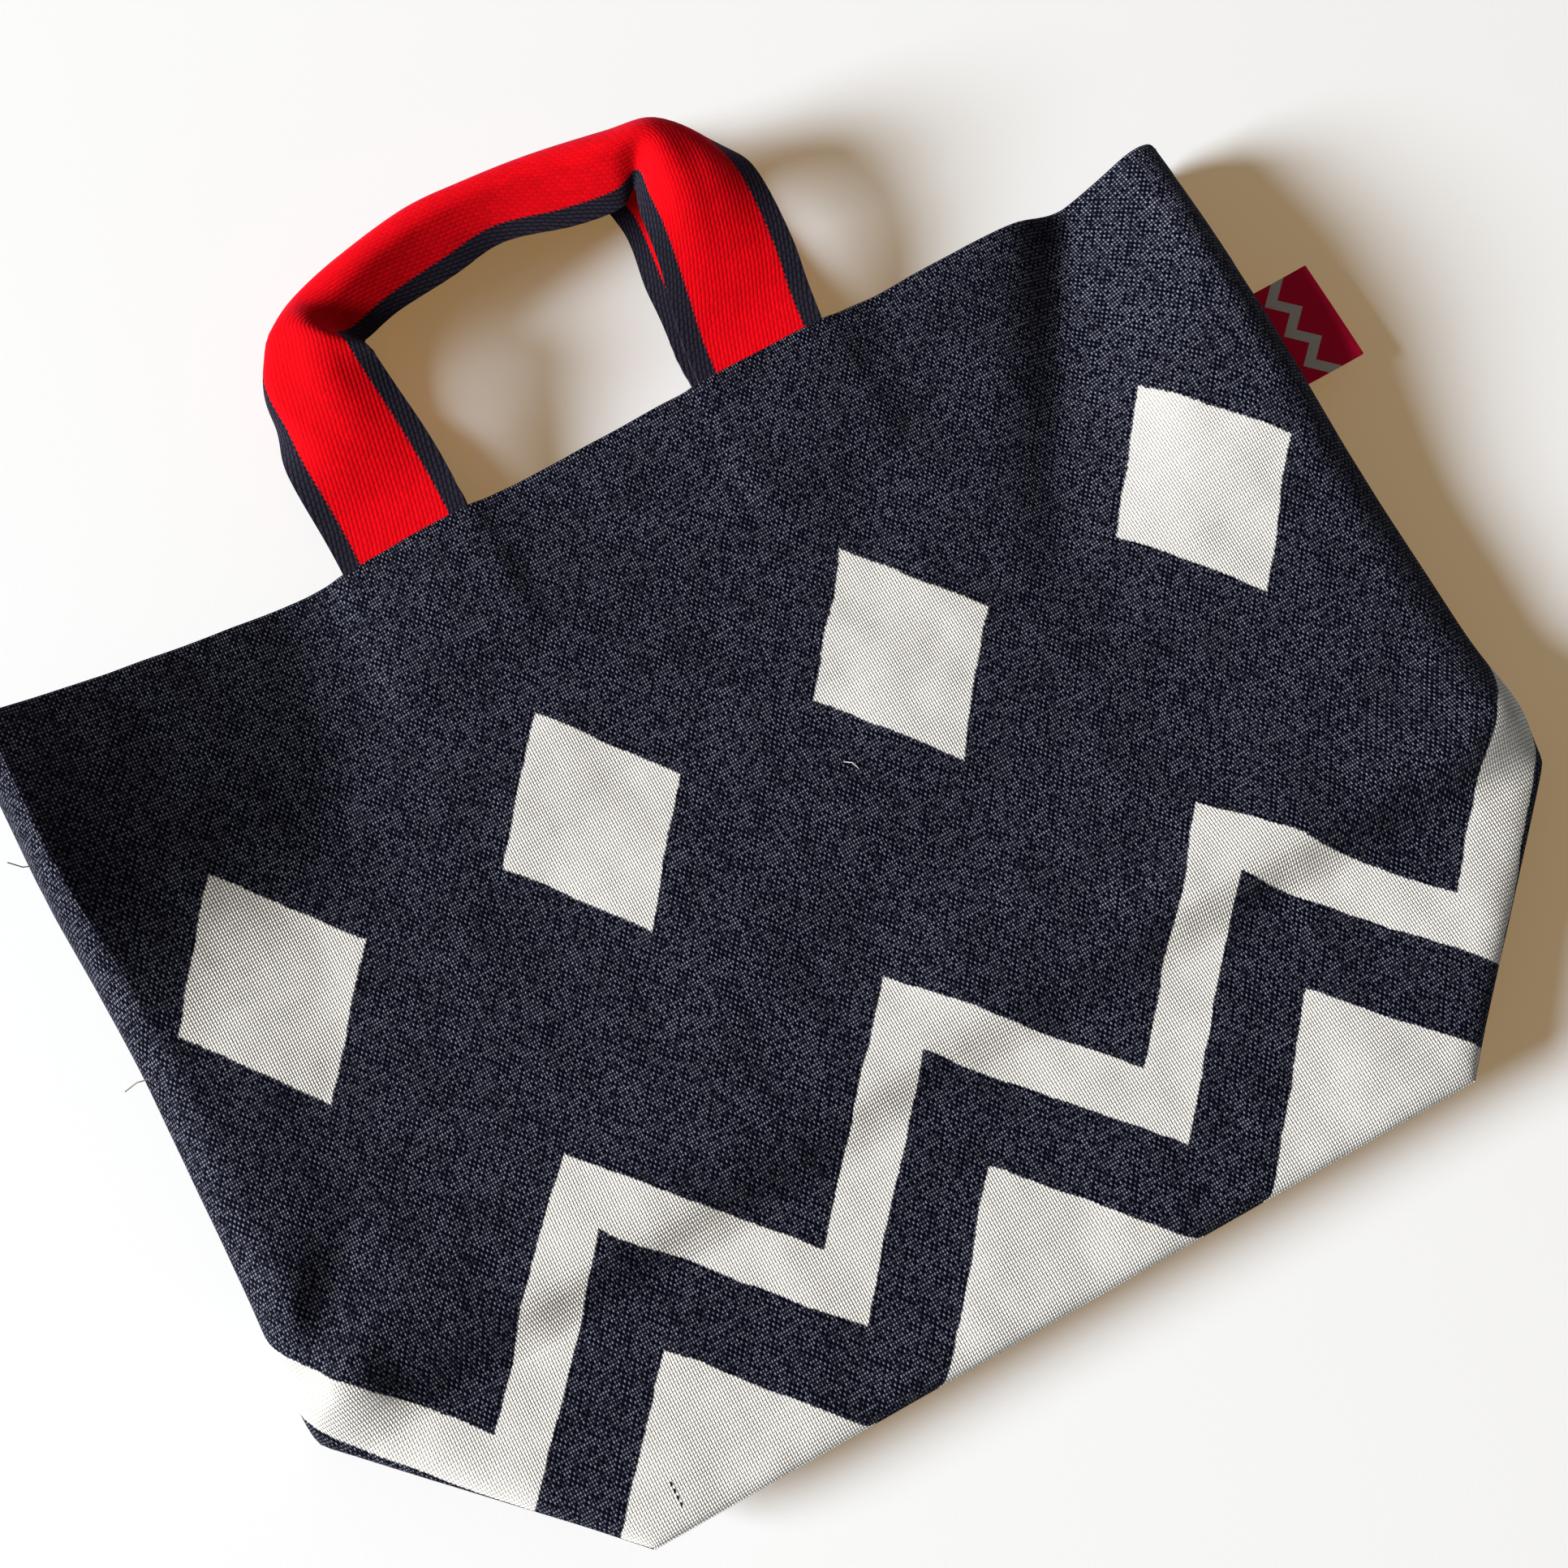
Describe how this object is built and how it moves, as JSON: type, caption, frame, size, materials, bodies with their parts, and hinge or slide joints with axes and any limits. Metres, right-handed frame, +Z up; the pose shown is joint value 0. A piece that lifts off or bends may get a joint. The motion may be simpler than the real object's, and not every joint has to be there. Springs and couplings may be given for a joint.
{
  "type": "tote bag",
  "caption": "Heavy canvas tote bag with a boxed base that folds in, turned-in mouth hem, short webbing handles and a folded side label, lying on its back.",
  "frame": {"origin": "middle of the back panel's outer face, which lies on the table", "axes": "+X along the mouth to the bag's right with the front panel facing up, +Y from the base to the mouth, +Z up through the front panel"},
  "size_m": [0.3784, 0.3511, 0.0417],
  "materials": {
    "canvas": "heavy plain-weave cotton canvas, navy, with a resist-dyed off-white geometric design on the front",
    "binding": "dark navy seam tape",
    "webbing": "twill webbing, red with navy edges",
    "label": "folded woven label, crimson"
  },
  "bodies": {
    "back": {"back_panel": "canvas", "rear_facing": "canvas", "rear_handle_left_end": "webbing", "rear_handle_right_end": "webbing"},
    "base_rear": {"base_rear_half": "canvas", "rear_left_base_seam": "binding", "rear_right_base_seam": "binding"},
    "base_front": {"base_front_half": "canvas", "front_left_base_seam": "binding", "front_right_base_seam": "binding"},
    "front": {"front_panel": "canvas", "front_facing": "canvas", "front_handle_left_end": "webbing", "front_handle_right_end": "webbing"},
    "front_left_side": {"front_left_gusset": "canvas", "front_left_hem": "canvas"},
    "front_right_side": {"front_right_gusset": "canvas", "front_right_hem": "canvas"},
    "rear_left_side": {"rear_left_gusset": "canvas", "rear_left_hem": "canvas"},
    "rear_right_side": {"rear_right_gusset": "canvas", "rear_right_hem": "canvas"},
    "left_seam": {"left_side_seam": "canvas", "left_seam_binding": "binding"},
    "right_seam": {"right_side_seam": "canvas", "right_seam_binding": "binding"},
    "front_left_fold": {"front_left_corner": "canvas"},
    "front_right_fold": {"front_right_corner": "canvas"},
    "rear_left_fold": {"rear_left_corner": "canvas"},
    "rear_right_fold": {"rear_right_corner": "canvas"},
    "front_grip": {"front_handle": "webbing"},
    "rear_grip": {"rear_handle": "webbing"},
    "tag": {"side_tag": "label"}
  },
  "joints": [
    {"name": "bag_open", "type": "hinge", "parent": "back", "child": "base_rear", "pos_m": [0, -0.129, 0.0012], "axis": [1, 0, 0], "range_deg": [0, 82]},
    {"name": "base_middle_fold", "type": "hinge", "parent": "base_rear", "child": "base_front", "pos_m": [0, -0.06752, 0.0092], "axis": [1, 0, 0], "range_deg": [-164, 0]},
    {"name": "front_base_fold", "type": "hinge", "parent": "base_front", "child": "front", "pos_m": [0, -0.129, 0.0172], "axis": [1, 0, 0], "range_deg": [0, 82]},
    {"name": "front_left_gusset_fold", "type": "hinge", "parent": "front", "child": "front_left_side", "pos_m": [-0.116, 0, 0.0172], "axis": [0, 1, 0], "range_deg": [-82, 0]},
    {"name": "front_right_gusset_fold", "type": "hinge", "parent": "front", "child": "front_right_side", "pos_m": [0.116, 0, 0.0172], "axis": [0, 1, 0], "range_deg": [0, 82]},
    {"name": "rear_left_gusset_fold", "type": "hinge", "parent": "back", "child": "rear_left_side", "pos_m": [-0.116, 0, 0.0012], "axis": [0, 1, 0], "range_deg": [0, 82]},
    {"name": "rear_right_gusset_fold", "type": "hinge", "parent": "back", "child": "rear_right_side", "pos_m": [0.116, 0, 0.0012], "axis": [0, 1, 0], "range_deg": [-82, 0]},
    {"name": "left_seam_turn", "type": "hinge", "parent": "rear_left_side", "child": "left_seam", "pos_m": [-0.17748, 0, 0.0092], "axis": [0, 1, 0], "range_deg": [-82, 0]},
    {"name": "right_seam_turn", "type": "hinge", "parent": "rear_right_side", "child": "right_seam", "pos_m": [0.17748, 0, 0.0092], "axis": [0, 1, 0], "range_deg": [0, 82]},
    {"name": "front_left_corner_fold", "type": "hinge", "parent": "front_left_side", "child": "front_left_fold", "pos_m": [-0.116, -0.129, 0.0172], "axis": [-0.7012, 0.7071, -0.0912], "range_deg": [0, 168.8], "deforming": ["front_left_corner"]},
    {"name": "front_right_corner_fold", "type": "hinge", "parent": "front_right_side", "child": "front_right_fold", "pos_m": [0.116, -0.129, 0.0172], "axis": [0.7012, 0.7071, -0.0912], "range_deg": [-168.8, 0], "deforming": ["front_right_corner"]},
    {"name": "rear_left_corner_fold", "type": "hinge", "parent": "rear_left_side", "child": "rear_left_fold", "pos_m": [-0.116, -0.129, 0.0012], "axis": [-0.7012, 0.7071, 0.0912], "range_deg": [-168.8, 0], "deforming": ["rear_left_corner"]},
    {"name": "rear_right_corner_fold", "type": "hinge", "parent": "rear_right_side", "child": "rear_right_fold", "pos_m": [0.116, -0.129, 0.0012], "axis": [0.7012, 0.7071, 0.0912], "range_deg": [0, 168.8], "deforming": ["rear_right_corner"]},
    {"name": "front_handle_swing", "type": "hinge", "parent": "front", "child": "front_grip", "pos_m": [0, 0.1293, 0.0178], "axis": [1, 0, 0], "range_deg": [0, 150]},
    {"name": "rear_handle_swing", "type": "hinge", "parent": "back", "child": "rear_grip", "pos_m": [0, 0.1293, 0.0006], "axis": [1, 0, 0], "range_deg": [-150, 0]},
    {"name": "tag_flip", "type": "hinge", "parent": "right_seam", "child": "tag", "pos_m": [0.17953, 0.067, 0.0092], "axis": [0, -1, 0], "range_deg": [-70, 70], "stiffness_Nm_per_rad": 0.001}
  ],
  "couplings": [
    {"joint": "base_middle_fold", "follows": "bag_open", "ratio": -2},
    {"joint": "front_base_fold", "follows": "bag_open", "ratio": 1},
    {"joint": "front_left_gusset_fold", "follows": "bag_open", "ratio": -1},
    {"joint": "front_right_gusset_fold", "follows": "bag_open", "ratio": 1},
    {"joint": "rear_left_gusset_fold", "follows": "bag_open", "ratio": 1},
    {"joint": "rear_right_gusset_fold", "follows": "bag_open", "ratio": -1},
    {"joint": "left_seam_turn", "follows": "bag_open", "ratio": -1},
    {"joint": "right_seam_turn", "follows": "bag_open", "ratio": 1},
    {"joint": "front_left_corner_fold", "follows": "bag_open", "ratio": 2.058},
    {"joint": "front_right_corner_fold", "follows": "bag_open", "ratio": -2.058},
    {"joint": "rear_left_corner_fold", "follows": "bag_open", "ratio": -2.058},
    {"joint": "rear_right_corner_fold", "follows": "bag_open", "ratio": 2.058}
  ]
}
